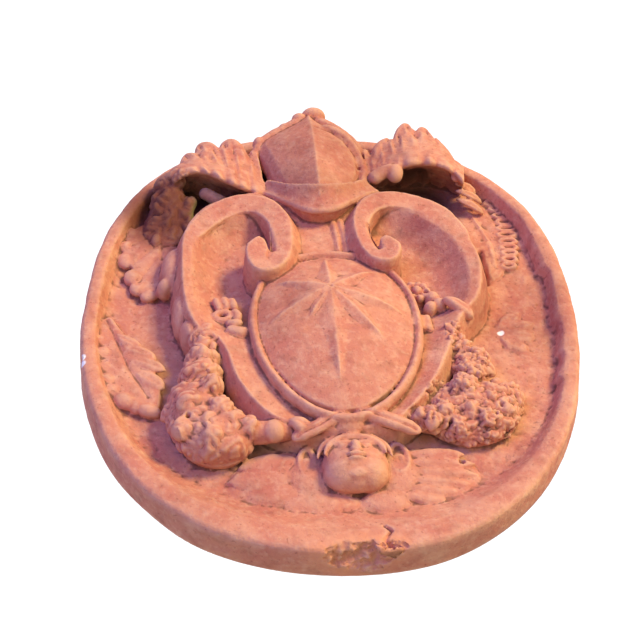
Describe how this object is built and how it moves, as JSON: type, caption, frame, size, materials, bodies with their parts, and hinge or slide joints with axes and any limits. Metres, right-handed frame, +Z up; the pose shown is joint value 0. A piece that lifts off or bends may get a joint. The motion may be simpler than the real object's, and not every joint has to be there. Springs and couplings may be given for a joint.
{
  "type": "wall plaque",
  "caption": "Oval terracotta wall plaque in high relief: a star shield in a scrolled frame under a closed helmet, with acanthus, fruit swags and a winged cherub head.",
  "frame": {"origin": "centre of the oval on the flat back face", "axes": "+X to the viewer's right, -Y out of the wall towards the viewer, +Z up the wall"},
  "size_m": [0.5034, 0.091, 0.6012],
  "materials": {
    "terracotta": "matt unglazed fired clay, weathered, with pale dust in the hollows and chipped edges"
  },
  "bodies": {
    "root": {"terracotta_plaque": "terracotta"}
  },
  "joints": []
}
